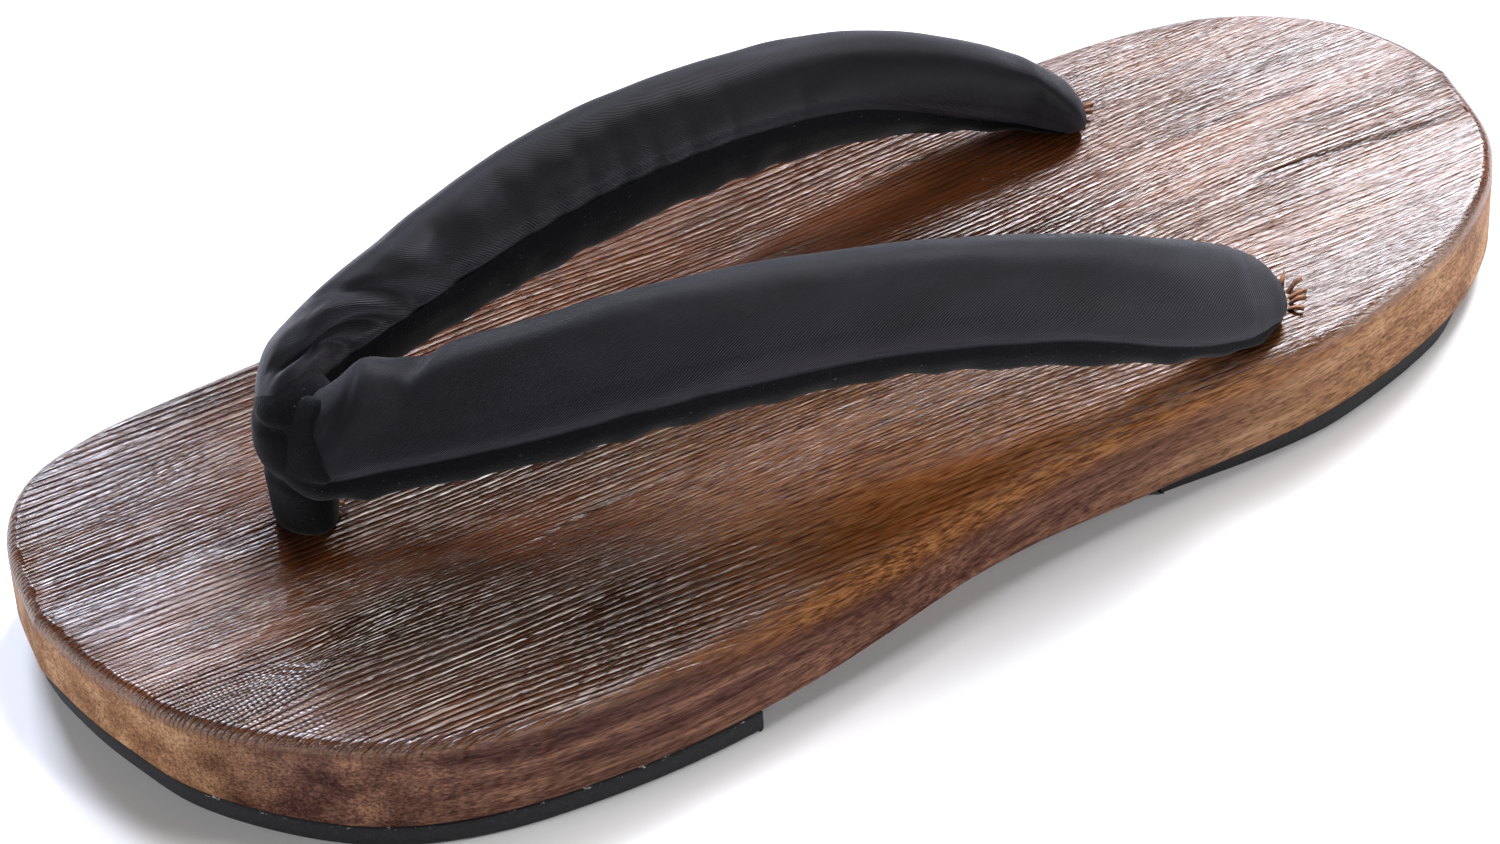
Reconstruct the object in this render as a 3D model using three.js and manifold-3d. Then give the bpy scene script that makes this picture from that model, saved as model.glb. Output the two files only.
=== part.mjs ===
// Left geta sandal: a flat wooden board on two rubber pads, held to the foot by a padded thong strap.
// Millimetres. The toe points along -Y, the outer side of the foot is +X, +Z is up.
// The origin is on the floor, under the middle of the board.

import * as THREE from 'three';
import { mergeVertices } from 'three/addons/utils/BufferGeometryUtils.js';
import Module from 'manifold-3d';

const wasm = await Module();
wasm.setup();

// Board
const LENGTH = 270;
const WIDTH = 105;
const BOARD_THICK = 17.5;
const ARCH_RISE = 2.6;
const TOE_SPRING = 5;
const TOP_EDGE_ROUND = 2.2;
const WAIST_EDGE_ROUND = 5.5;
const BOTTOM_EDGE_ROUND = 1.2;

// Rubber pads
const RUBBER_THICK = 4;
const FRONT_PAD_LENGTH = 94;
const HEEL_PAD_LENGTH = 92;
const SPRING_LENGTH = 30;

// Strap
const TOE_HOLE_X = -8.3;
const TOE_HOLE_FROM_TOE = 45.6;
const REAR_HOLE_FROM_HEEL = 63.4;
const REAR_HOLE_MIDDLE = 0.6;
const REAR_HOLE_SPREAD = 31;
const STRAP_RISE = 29;
const STRAP_TALL = 27;
const STRAP_THICK = 9.6;
const PLUG_RADIUS = 3.2;
const PLUG_DEPTH = 11;
const PLUG_TOP = 2.5;

// Toe post
const POST_RISE = 27;
const POST_BREADTH = 13;
const POST_CORD_RADIUS = 3.8;
const POST_DEPTH = 12;

// Clearance between pieces that touch
const GAP = 0.3;

// Fineness of the faceted surfaces
const STATIONS = 44;
const SECTION_SIDES = 22;
const ROW_STEPS = 3;
const ROUND_STEPS = 4;

const SEAT_Z = RUBBER_THICK + GAP;
const TOP_Z = SEAT_Z + BOARD_THICK;
const FRONT_PAD_END = FRONT_PAD_LENGTH - LENGTH / 2;
const HEEL_PAD_START = LENGTH / 2 - HEEL_PAD_LENGTH;
const SPRING_START = SPRING_LENGTH - LENGTH / 2;
const TOE_HOLE_Y = TOE_HOLE_FROM_TOE - LENGTH / 2;
const REAR_HOLE_Y = LENGTH / 2 - REAR_HOLE_FROM_HEEL;

// Board edges seen from above, toe to heel: along is a share of the half length, out of the half width.
const TOE_TIP = { along: -1, out: -0.25 };
const HEEL_TIP = { along: 1, out: -0.16 };
const OUTER_EDGE = [
  { along: -0.985, out: 0.0 },
  { along: -0.963, out: 0.19 },
  { along: -0.933, out: 0.38 },
  { along: -0.874, out: 0.57 },
  { along: -0.793, out: 0.762 },
  { along: -0.72, out: 0.876 },
  { along: -0.63, out: 0.952 },
  { along: -0.519, out: 0.99 },
  { along: -0.4, out: 1.0 },
  { along: -0.26, out: 0.975 },
  { along: -0.111, out: 0.93 },
  { along: 0.02, out: 0.873 },
  { along: 0.15, out: 0.826 },
  { along: 0.3, out: 0.8 },
  { along: 0.44, out: 0.796 },
  { along: 0.52, out: 0.787 },
  { along: 0.61, out: 0.752 },
  { along: 0.72, out: 0.676 },
  { along: 0.81, out: 0.58 },
  { along: 0.88, out: 0.46 },
  { along: 0.93, out: 0.335 },
  { along: 0.972, out: 0.152 },
];
const INNER_EDGE = [
  { along: -0.98, out: -0.54 },
  { along: -0.945, out: -0.74 },
  { along: -0.89, out: -0.87 },
  { along: -0.81, out: -0.938 },
  { along: -0.72, out: -0.965 },
  { along: -0.56, out: -0.981 },
  { along: -0.33, out: -0.993 },
  { along: 0.0, out: -1.0 },
  { along: 0.25, out: -0.993 },
  { along: 0.5, out: -0.974 },
  { along: 0.65, out: -0.954 },
  { along: 0.745, out: -0.918 },
  { along: 0.82, out: -0.857 },
  { along: 0.893, out: -0.735 },
  { along: 0.955, out: -0.56 },
  { along: 0.99, out: -0.352 },
];

// Pad insets from the board's edge, in shares of the rubber's thickness.
const FRONT_INSET = [
  { along: -1.0, inset: 0.95 },
  { along: -0.93, inset: 0.5 },
  { along: -0.84, inset: 0.2 },
  { along: -0.3, inset: 0.12 },
];
const HEEL_INSET = [
  { along: 0.3, inset: 0.9 },
  { along: 0.44, inset: 0.5 },
  { along: 0.56, inset: 0.25 },
  { along: 0.78, inset: 0.3 },
  { along: 0.9, inset: 0.8 },
  { along: 1.0, inset: 1.2 },
];

// Strap arm sections, toe to heel: along is a share of the run from toe hole to rear holes, out of
// the rear holes' spread, up of the strap's rise, tall and thick of its own size. lean is the
// section's tilt in radians: a quarter turn stands upright, less leans in over the foot.
const OUTER_ARM_FRONT = [
  { along: -0.03, out: 0.02, up: 0.66, tall: 0.25, thick: 0.5, lean: 1.42 },
  { along: -0.018, out: 0.1, up: 0.68, tall: 0.5, thick: 0.85, lean: 1.42 },
  { along: 0.0, out: 0.19, up: 0.71, tall: 0.62, thick: 1.0, lean: 1.42 },
  { along: 0.03, out: 0.25, up: 0.75, tall: 0.73, thick: 1.0, lean: 1.42 },
  { along: 0.06, out: 0.29, up: 0.79, tall: 0.84, thick: 1.0, lean: 1.43 },
  { along: 0.1, out: 0.36, up: 0.81, tall: 0.85, thick: 1.0, lean: 1.45 },
  { along: 0.2, out: 0.54, up: 0.905, tall: 0.95, thick: 1.0, lean: 1.5 },
];
const INNER_ARM_FRONT = [
  { along: -0.03, out: 0.02, up: 0.86, tall: 0.25, thick: 0.5, lean: 1.3 },
  { along: -0.018, out: 0.06, up: 0.9, tall: 0.42, thick: 0.95, lean: 1.3 },
  { along: 0.0, out: 0.12, up: 0.95, tall: 0.52, thick: 1.15, lean: 1.3 },
  { along: 0.03, out: 0.2, up: 0.97, tall: 0.62, thick: 1.15, lean: 1.35 },
  { along: 0.06, out: 0.27, up: 0.97, tall: 0.74, thick: 1.05, lean: 1.4 },
  { along: 0.1, out: 0.35, up: 0.965, tall: 0.82, thick: 1.0, lean: 1.45 },
  { along: 0.2, out: 0.54, up: 0.97, tall: 0.95, thick: 1.0, lean: 1.5 },
];
const ARM_BACK = [
  { along: 0.3, out: 0.69, up: 1.0, tall: 1.0, thick: 1.0, lean: 1.55 },
  { along: 0.42, out: 0.816, up: 1.02, tall: 0.985, thick: 1.0, lean: 1.57 },
  { along: 0.54, out: 0.92, up: 0.98, tall: 0.93, thick: 1.0, lean: 1.56 },
  { along: 0.66, out: 1.03, up: 0.872, tall: 0.9, thick: 1.0, lean: 1.5 },
  { along: 0.77, out: 1.106, up: 0.703, tall: 0.86, thick: 1.0, lean: 1.4 },
  { along: 0.86, out: 1.12, up: 0.51, tall: 0.8, thick: 1.0, lean: 1.28 },
  { along: 0.93, out: 1.08, up: 0.35, tall: 0.69, thick: 0.98, lean: 1.2 },
  { along: 0.96, out: 1.045, up: 0.283, tall: 0.57, thick: 0.95, lean: 1.15 },
  { along: 0.985, out: 1.01, up: 0.21, tall: 0.4, thick: 0.9, lean: 1.1 },
  { along: 1.0, out: 1.0, up: 0.155, tall: 0.27, thick: 0.82, lean: 1.05 },
  { along: 1.012, out: 0.995, up: 0.1, tall: 0.13, thick: 0.55, lean: 1.05 },
];

// Toe post sections, board to top: up is a share of the post's rise, back and the two half widths
// are shares of half its breadth.
const POST = [
  { up: 0.0, back: 0.0, across: 0.8, deep: 0.72 },
  { up: 0.04, back: 0.0, across: 0.88, deep: 0.8 },
  { up: 0.2, back: 0.0, across: 0.93, deep: 0.86 },
  { up: 0.42, back: -0.04, across: 1.0, deep: 0.95 },
  { up: 0.6, back: -0.1, across: 1.08, deep: 1.02 },
  { up: 0.75, back: -0.08, across: 1.1, deep: 1.04 },
  { up: 0.87, back: 0.0, across: 1.0, deep: 0.95 },
  { up: 0.95, back: 0.08, across: 0.75, deep: 0.72 },
  { up: 1.0, back: 0.12, across: 0.35, deep: 0.35 },
];

function smoothStep(from, to, value) {
  const t = Math.min(1, Math.max(0, (value - from) / (to - from)));
  return t * t * (3 - 2 * t);
}

// Straight interpolation of one column of a table at a place along the board.
function columnAt(rows, key, along) {
  for (let i = 1; i < rows.length; i += 1) {
    const a = rows[i - 1];
    const b = rows[i];
    if (along <= b.along) {
      const t = Math.max(0, (along - a.along) / (b.along - a.along));
      return a[key] + (b[key] - a[key]) * t;
    }
  }
  return rows[rows.length - 1][key];
}

// Rows of a section table with smooth steps between them.
function smoothRows(rows, steps) {
  const keys = Object.keys(rows[0]);
  const result = [];
  for (let i = 0; i < rows.length - 1; i += 1) {
    const before = rows[Math.max(0, i - 1)];
    const after = rows[Math.min(rows.length - 1, i + 2)];
    for (let s = 0; s < steps; s += 1) {
      const t = s / steps;
      const row = {};
      for (const key of keys) {
        const a = before[key];
        const b = rows[i][key];
        const c = rows[i + 1][key];
        const d = after[key];
        const linear = (c - a) * t;
        const square = (2 * a - 5 * b + 4 * c - d) * t * t;
        const cube = (3 * b - a - 3 * c + d) * t * t * t;
        row[key] = b + 0.5 * (linear + square + cube);
      }
      result.push(row);
    }
  }
  result.push(rows[rows.length - 1]);
  return result;
}

// Points of one board edge at evenly turned stations, close together at toe and heel.
function edgeStations(edge) {
  const points = [TOE_TIP, ...edge, HEEL_TIP].map(
    (p) => new THREE.Vector3((p.out * WIDTH) / 2, (p.along * LENGTH) / 2, 0)
  );
  const fine = new THREE.CatmullRomCurve3(points, false, 'centripetal').getPoints(600);
  const stations = [];
  for (let k = 1; k < STATIONS; k += 1) {
    const y = (-LENGTH / 2) * Math.cos((Math.PI * k) / STATIONS);
    const i = Math.max(1, fine.findIndex((p) => p.y >= y));
    const a = fine[i - 1];
    const b = fine[i];
    const t = (y - a.y) / (b.y - a.y);
    stations.push(new THREE.Vector2(a.x + (b.x - a.x) * t, y));
  }
  return stations;
}

// The board's outline: toe tip, outer side to the heel tip, inner side back to the toe.
function boardOutline() {
  const outer = edgeStations(OUTER_EDGE);
  const inner = edgeStations(INNER_EDGE).reverse();
  const toe = new THREE.Vector2((TOE_TIP.out * WIDTH) / 2, -LENGTH / 2);
  const heel = new THREE.Vector2((HEEL_TIP.out * WIDTH) / 2, LENGTH / 2);
  return [toe, ...outer, heel, ...inner];
}

function insetOutline(outline, insetAt) {
  const count = outline.length;
  return outline.map((p, i) => {
    const before = outline[(i + count - 1) % count];
    const after = outline[(i + 1) % count];
    const along = after.clone().sub(before).normalize();
    const inset = insetAt(p);
    return new THREE.Vector2(p.x - along.y * inset, p.y + along.x * inset);
  });
}

function closedGeometry(positions, index) {
  const geometry = new THREE.BufferGeometry();
  geometry.setAttribute('position', new THREE.Float32BufferAttribute(positions, 3));
  geometry.setIndex(index);
  return mergeVertices(geometry, 1e-5);
}

// A closed slab from rings that lie over one another, each ring paired across for its end faces.
function slab(rings) {
  const count = rings[0].length;
  const positions = [];
  const index = [];
  for (const ring of rings) {
    for (const p of ring) {
      positions.push(p.x, p.y, p.z);
    }
  }
  for (let r = 0; r < rings.length - 1; r += 1) {
    for (let i = 0; i < count; i += 1) {
      const a = r * count + i;
      const b = r * count + ((i + 1) % count);
      index.push(a, b, b + count, a, b + count, a + count);
    }
  }
  const top = (rings.length - 1) * count;
  for (let k = 0; k < count / 2; k += 1) {
    const near = k;
    const nearNext = k + 1;
    const far = (count - k) % count;
    const farNext = count - k - 1;
    if (k > 0) {
      index.push(near, far, nearNext);
      index.push(top + near, top + nearNext, top + far);
    }
    if (farNext !== nearNext) {
      index.push(far, farNext, nearNext);
      index.push(top + far, top + nearNext, top + farNext);
    }
  }
  return closedGeometry(positions, index);
}

// A closed tube from rings of points, with a fan to a middle point at each end.
function loft(rings) {
  const count = rings[0].length;
  const positions = [];
  const index = [];
  for (const ring of rings) {
    for (const p of ring) {
      positions.push(p.x, p.y, p.z);
    }
  }
  for (let r = 0; r < rings.length - 1; r += 1) {
    for (let i = 0; i < count; i += 1) {
      const a = r * count + i;
      const b = r * count + ((i + 1) % count);
      index.push(a, b, b + count, a, b + count, a + count);
    }
  }
  const ends = [
    { ring: rings[0], start: 0, flip: true },
    { ring: rings[rings.length - 1], start: (rings.length - 1) * count, flip: false },
  ];
  for (const end of ends) {
    const middle = new THREE.Vector3();
    for (const p of end.ring) {
      middle.addScaledVector(p, 1 / count);
    }
    const centre = positions.length / 3;
    positions.push(middle.x, middle.y, middle.z);
    for (let i = 0; i < count; i += 1) {
      const a = end.start + i;
      const b = end.start + ((i + 1) % count);
      index.push(centre, end.flip ? b : a, end.flip ? a : b);
    }
  }
  return closedGeometry(positions, index);
}

function toSolid(geometry) {
  const bare = geometry.clone();
  bare.deleteAttribute('normal');
  bare.deleteAttribute('uv');
  const merged = mergeVertices(bare, 1e-5);
  const mesh = new wasm.Mesh({
    numProp: 3,
    vertProperties: new Float32Array(merged.attributes.position.array),
    triVerts: new Uint32Array(merged.index.array),
  });
  return new wasm.Manifold(mesh);
}

function toGeometry(solid) {
  const mesh = solid.getMesh();
  const geometry = new THREE.BufferGeometry();
  geometry.setAttribute('position', new THREE.BufferAttribute(mesh.vertProperties, 3));
  geometry.setIndex(new THREE.BufferAttribute(mesh.triVerts, 1));
  geometry.computeVertexNormals();
  return geometry;
}

function post(radius, low, high, x, y) {
  const geometry = new THREE.CylinderGeometry(radius, radius, high - low, SECTION_SIDES);
  geometry.rotateX(Math.PI / 2);
  geometry.translate(x, y, (low + high) / 2);
  return toSolid(geometry);
}

// Underside of the board: seated on the pads, arched between them, sprung up at the toe.
function undersideZ(y) {
  const between = (y - FRONT_PAD_END) / (HEEL_PAD_START - FRONT_PAD_END);
  const arch = between > 0 && between < 1 ? Math.sin(Math.PI * between) ** 2 : 0;
  const toeward = Math.max(0, (SPRING_START - y) / (SPRING_START + LENGTH / 2));
  return SEAT_Z + ARCH_RISE * arch + TOE_SPRING * toeward * toeward;
}

// The top edge is worn rounder along the waist of the outer side.
function topRoundAt(p) {
  const along = (2 * p.y) / LENGTH;
  const waist = smoothStep(-0.62, -0.3, along) * (1 - smoothStep(0.35, 0.6, along));
  const outer = p.x > 0 ? 1 : 0;
  return TOP_EDGE_ROUND + (WAIST_EDGE_ROUND - TOP_EDGE_ROUND) * waist * outer;
}

function rearHole(side) {
  return { x: REAR_HOLE_MIDDLE + side * REAR_HOLE_SPREAD, y: REAR_HOLE_Y };
}

function boardGeometry(outline) {
  const rings = [];
  for (let s = 0; s <= ROUND_STEPS; s += 1) {
    const turn = (Math.PI / 2) * (s / ROUND_STEPS);
    const inset = BOTTOM_EDGE_ROUND * (1 - Math.sin(turn));
    const rise = BOTTOM_EDGE_ROUND * (1 - Math.cos(turn));
    const ring = insetOutline(outline, () => inset);
    rings.push(ring.map((p) => new THREE.Vector3(p.x, p.y, undersideZ(p.y) + rise)));
  }
  for (let s = 0; s <= ROUND_STEPS; s += 1) {
    const turn = (Math.PI / 2) * (s / ROUND_STEPS);
    const ring = insetOutline(outline, (p) => topRoundAt(p) * (1 - Math.cos(turn)));
    const drop = outline.map((p) => topRoundAt(p) * (1 - Math.sin(turn)));
    rings.push(ring.map((p, i) => new THREE.Vector3(p.x, p.y, TOP_Z - drop[i])));
  }
  let board = toSolid(slab(rings));
  board = board.subtract(post(POST_CORD_RADIUS + GAP, 0, TOP_Z + 1, TOE_HOLE_X, TOE_HOLE_Y));
  for (const side of [1, -1]) {
    const hole = rearHole(side);
    board = board.subtract(post(PLUG_RADIUS + GAP, 0, TOP_Z + 1, hole.x, hole.y));
  }
  return toGeometry(board);
}

function padGeometry(outline, insets, from, to) {
  const flat = insetOutline(outline, (p) => RUBBER_THICK * columnAt(insets, 'inset', (2 * p.y) / LENGTH));
  const low = flat.map((p) => new THREE.Vector3(p.x, p.y, undersideZ(p.y) - SEAT_Z));
  const high = low.map((p) => new THREE.Vector3(p.x, p.y, p.z + RUBBER_THICK));
  const stretch = new THREE.BoxGeometry(2 * WIDTH, to - from, 8 * SEAT_Z);
  stretch.translate(0, (from + to) / 2, 0);
  return toGeometry(toSolid(slab([low, high])).intersect(toSolid(stretch)));
}

// One section of a strap arm, drawn in the upright plane across the strap's run.
function armRing(row, side, grow) {
  const toe = new THREE.Vector2(TOE_HOLE_X, TOE_HOLE_Y);
  const run = new THREE.Vector2(REAR_HOLE_MIDDLE, REAR_HOLE_Y).sub(toe);
  const across = new THREE.Vector2(run.y, -run.x).normalize();
  const outward = side * row.out * REAR_HOLE_SPREAD;
  const middle = new THREE.Vector3(
    toe.x + run.x * row.along + across.x * outward,
    toe.y + run.y * row.along + across.y * outward,
    TOP_Z + row.up * STRAP_RISE
  );
  const tall = (row.tall * STRAP_TALL) / 2 + grow;
  const thick = (row.thick * STRAP_THICK) / 2 + grow;
  const ring = [];
  for (let i = 0; i < SECTION_SIDES; i += 1) {
    const turn = (2 * Math.PI * i) / SECTION_SIDES;
    const u = tall * Math.sign(Math.cos(turn)) * Math.abs(Math.cos(turn)) ** 0.85;
    const belly = Math.cos(turn) < -0.6 ? 0.88 : 1;
    const v = belly * thick * Math.sign(Math.sin(turn)) * Math.abs(Math.sin(turn)) ** 0.85;
    const sideways = -u * Math.cos(row.lean) + v * Math.sin(row.lean);
    const upward = u * Math.sin(row.lean) + v * Math.cos(row.lean);
    ring.push(
      new THREE.Vector3(
        middle.x + side * across.x * sideways,
        middle.y + side * across.y * sideways,
        middle.z + upward
      )
    );
  }
  return side > 0 ? ring : ring.reverse();
}

function armSolid(side, grow) {
  const front = side > 0 ? OUTER_ARM_FRONT : INNER_ARM_FRONT;
  const rows = smoothRows([...front, ...ARM_BACK], ROW_STEPS);
  if (grow > 0) {
    const first = { ...rows[0], along: rows[0].along - grow / (REAR_HOLE_Y - TOE_HOLE_Y) };
    rows.unshift(first);
  }
  return toSolid(loft(rows.map((row) => armRing(row, side, grow))));
}

function strapSolid(grow) {
  let strap = armSolid(1, grow).add(armSolid(-1, grow));
  for (const side of [1, -1]) {
    const hole = rearHole(side);
    strap = strap.add(post(PLUG_RADIUS, TOP_Z - PLUG_DEPTH, TOP_Z + PLUG_TOP, hole.x, hole.y));
  }
  return strap;
}

// A velvet roll that rises from the toe hole and wraps the joint of the two arms.
function toePostGeometry() {
  const half = POST_BREADTH / 2;
  const base = TOP_Z + GAP;
  const rings = [];
  for (const z of [TOP_Z - POST_DEPTH, base]) {
    rings.push({ z, y: TOE_HOLE_Y, across: POST_CORD_RADIUS, deep: POST_CORD_RADIUS });
  }
  for (const row of smoothRows(POST, ROW_STEPS)) {
    rings.push({
      z: base + row.up * POST_RISE,
      y: TOE_HOLE_Y + row.back * half,
      across: row.across * half,
      deep: row.deep * half,
    });
  }
  const sections = rings.map((ring) => {
    const points = [];
    for (let i = 0; i < SECTION_SIDES; i += 1) {
      const turn = (2 * Math.PI * i) / SECTION_SIDES;
      const x = TOE_HOLE_X + ring.across * Math.cos(turn);
      points.push(new THREE.Vector3(x, ring.y + ring.deep * Math.sin(turn), ring.z));
    }
    return points;
  });
  return toGeometry(toSolid(loft(sections)).subtract(strapSolid(GAP)));
}

function material(color, roughness) {
  return new THREE.MeshStandardMaterial({ color, roughness, metalness: 0 });
}

function piece(name, geometry, look) {
  const mesh = new THREE.Mesh(geometry, look);
  mesh.name = name;
  return mesh;
}

const wood = material(0x4a2c1e, 0.4);
const rubber = material(0x1b1b1c, 0.9);
const satin = material(0x232326, 0.6);
const velvet = material(0x0d0d0f, 0.95);
const outline = boardOutline();

const geta = new THREE.Group();
geta.name = 'geta_sandal';
geta.add(piece('sole_board', boardGeometry(outline), wood));
geta.add(piece('outsole_front', padGeometry(outline, FRONT_INSET, -LENGTH, FRONT_PAD_END), rubber));
geta.add(piece('outsole_heel', padGeometry(outline, HEEL_INSET, HEEL_PAD_START, LENGTH), rubber));
geta.add(piece('strap', toGeometry(strapSolid(0)), satin));
geta.add(piece('toe_post', toePostGeometry(), velvet));

export default geta;
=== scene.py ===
"""Left geta sandal: scorched wooden board, rubber pads, padded satin strap and velvet toe post."""

import math

import bpy
import numpy as np
from mathutils import Matrix, Vector


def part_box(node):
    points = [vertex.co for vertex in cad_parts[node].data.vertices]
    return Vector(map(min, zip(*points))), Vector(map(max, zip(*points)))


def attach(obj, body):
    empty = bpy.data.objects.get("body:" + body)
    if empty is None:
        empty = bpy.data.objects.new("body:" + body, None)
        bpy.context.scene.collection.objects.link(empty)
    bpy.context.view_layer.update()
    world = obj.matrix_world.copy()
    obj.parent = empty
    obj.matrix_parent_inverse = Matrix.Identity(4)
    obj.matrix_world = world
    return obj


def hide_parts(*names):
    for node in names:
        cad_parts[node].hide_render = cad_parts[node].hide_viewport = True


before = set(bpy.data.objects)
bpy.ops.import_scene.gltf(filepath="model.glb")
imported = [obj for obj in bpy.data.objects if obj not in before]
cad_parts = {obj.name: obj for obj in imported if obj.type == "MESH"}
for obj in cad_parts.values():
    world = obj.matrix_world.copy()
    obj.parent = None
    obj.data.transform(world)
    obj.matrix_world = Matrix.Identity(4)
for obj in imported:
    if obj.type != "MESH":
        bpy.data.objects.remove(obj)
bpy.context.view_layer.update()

MM = 0.001

# Places taken from the frame, in millimetres
BOARD_LOW, BOARD_HIGH = (np.array(c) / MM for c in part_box("sole_board"))
HALF_LENGTH = (BOARD_HIGH[1] - BOARD_LOW[1]) / 2
HALF_WIDTH = (BOARD_HIGH[0] - BOARD_LOW[0]) / 2
TOP_Z = BOARD_HIGH[2]
SEAT_Z = BOARD_LOW[2]
FRONT_PAD_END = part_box("outsole_front")[1].y / MM
HEEL_PAD_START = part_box("outsole_heel")[0].y / MM

# Sizes of the sandal, in millimetres
ARCH_RISE = 2.6
TOE_SPRING = 5.0
SPRING_LENGTH = 30.0
TOP_EDGE_ROUND = 2.2
WAIST_EDGE_ROUND = 5.5
BOTTOM_EDGE_ROUND = 1.2
RUBBER_THICK = 4.0
RUBBER_EDGE_ROUND = 0.7
TOE_HOLE = (-8.3, -89.4)
REAR_HOLE_Y = 71.6
REAR_HOLE_MIDDLE = 0.6
REAR_HOLE_SPREAD = 31.0
STRAP_RISE = 29.0
STRAP_TALL = 27.0
STRAP_THICK = 9.6
POST_RISE = 31.0
POST_BREADTH = 13.0
TWILL_PITCH = 0.62
GAP = 0.3

# Shift of the toe post's foot and head from the toe hole, in millimetres
POST_FOOT = (-2.3, 1.6)
POST_HEAD = (0.6, 0.6)

# The inner arm's share of the run from the toe hole to the rear holes
INNER_ARM_SHARE = 0.984

# Camera, as the photograph was taken: place and lens in millimetres, turns in degrees, reach in metres
CAMERA_PLACE = (545.0, -311.0, 535.6)
CAMERA_AZIMUTH = 61.3
CAMERA_ELEVATION = 40.0
CAMERA_ROLL = -2.9
CAMERA_LENS = 118.3
CAMERA_SENSOR = 36.0
CAMERA_REACH = 20.0

# The floor reaches this many metres each way
FLOOR_REACH = 4.0

# World light, and soft windows: place, aim, width and height in metres, watts, colour
WORLD_LIGHT = 0.05
WORLD_COLOR = (0.95, 0.96, 1.0)
COOL = (0.78, 0.84, 1.0)
PLAIN = (1.0, 1.0, 1.0)
SOFT = (0.95, 0.94, 1.0)
WINDOWS = [
    ("heel_sheen", (-1.14, 1.65, 2.0), (0.0, 0.08, 0.02), (0.8, 1.5), 128.0, SOFT),
    ("toe_sheen", (-1.99, 0.23, 2.0), (0.0, -0.1, 0.02), (0.8, 1.5), 100.0, COOL),
    ("middle_sheen", (-1.78, 0.91, 1.9), (0.0, 0.0, 0.02), (0.62, 1.2), 2.0, PLAIN),
    ("toe_side", (0.0, -1.6, 0.7), (0.0, -0.1, 0.01), (0.8, 0.6), 13.0, PLAIN),
    ("heel_side", (0.8, 1.3, 0.55), (0.0, 0.1, 0.01), (0.6, 0.5), 15.0, PLAIN),
    ("front_fill", (1.3, -0.9, 0.9), (0.0, 0.0, 0.02), (0.8, 0.8), 1.5, PLAIN),
    ("ridge_glints", (0.0, 0.52, 1.8), (0.0, 0.0, 0.0), (1.0, 0.25), 13.0, PLAIN),
]

# Board edges from above, toe to heel, in shares of the half length and half width
OUTER_EDGE = [
    (-1.0, -0.25),
    (-0.985, 0.0),
    (-0.963, 0.19),
    (-0.933, 0.38),
    (-0.874, 0.57),
    (-0.793, 0.762),
    (-0.72, 0.876),
    (-0.63, 0.952),
    (-0.519, 0.99),
    (-0.4, 1.0),
    (-0.26, 0.975),
    (-0.111, 0.93),
    (0.02, 0.873),
    (0.15, 0.826),
    (0.3, 0.8),
    (0.44, 0.796),
    (0.52, 0.787),
    (0.61, 0.752),
    (0.72, 0.676),
    (0.81, 0.58),
    (0.88, 0.46),
    (0.93, 0.335),
    (0.972, 0.152),
    (1.0, -0.16),
]
INNER_EDGE = [
    (-1.0, -0.25),
    (-0.98, -0.54),
    (-0.945, -0.74),
    (-0.89, -0.87),
    (-0.81, -0.938),
    (-0.72, -0.965),
    (-0.56, -0.981),
    (-0.33, -0.993),
    (0.0, -1.0),
    (0.25, -0.993),
    (0.5, -0.974),
    (0.65, -0.954),
    (0.745, -0.918),
    (0.82, -0.857),
    (0.893, -0.735),
    (0.955, -0.56),
    (0.99, -0.352),
    (1.0, -0.16),
]

# Smooth steps between two rows of an edge
EDGE_STEPS = 60

# Pad insets in shares of the rubber's thickness: place along the board, inset
FRONT_INSET = [(-1.0, 0.3), (-0.93, 0.2), (-0.84, 0.15), (-0.3, 0.12)]
HEEL_INSET = [(0.3, 0.9), (0.44, 0.5), (0.56, 0.25), (0.78, 0.3), (0.9, 0.8), (1.0, 1.2)]

# Strap arm sections, toe to heel: along, out, up, tall, thick, lean
OUTER_ARM_FRONT = [
    (-0.03, 0.02, 0.66, 0.25, 0.5, 1.42),
    (-0.018, 0.1, 0.68, 0.5, 0.85, 1.42),
    (0.0, 0.19, 0.71, 0.62, 1.0, 1.42),
    (0.03, 0.25, 0.75, 0.73, 1.0, 1.42),
    (0.06, 0.29, 0.79, 0.84, 1.0, 1.43),
    (0.1, 0.36, 0.81, 0.85, 1.0, 1.45),
    (0.2, 0.54, 0.905, 0.95, 1.0, 1.5),
]
INNER_ARM_FRONT = [
    (-0.03, 0.02, 0.86, 0.25, 0.5, 1.3),
    (-0.018, 0.06, 0.9, 0.42, 0.95, 1.3),
    (0.0, 0.12, 0.95, 0.52, 1.15, 1.3),
    (0.03, 0.2, 0.97, 0.62, 1.15, 1.35),
    (0.06, 0.27, 0.97, 0.74, 1.05, 1.4),
    (0.1, 0.35, 0.965, 0.82, 1.0, 1.45),
    (0.2, 0.54, 0.97, 0.95, 1.0, 1.5),
]
ARM_BACK = [
    (0.3, 0.69, 1.0, 1.0, 1.0, 1.55),
    (0.42, 0.816, 1.02, 0.985, 1.0, 1.57),
    (0.54, 0.92, 0.98, 0.93, 1.0, 1.56),
    (0.66, 1.03, 0.872, 0.9, 1.0, 1.5),
    (0.77, 1.106, 0.703, 0.86, 1.0, 1.4),
    (0.86, 1.12, 0.51, 0.8, 1.0, 1.28),
    (0.93, 1.08, 0.35, 0.69, 0.98, 1.2),
    (0.956, 1.045, 0.275, 0.6, 1.0, 1.12),
    (0.976, 1.01, 0.215, 0.5, 1.0, 1.05),
    (0.991, 0.99, 0.165, 0.41, 0.95, 1.0),
    (1.002, 0.98, 0.12, 0.27, 0.75, 0.95),
]

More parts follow.
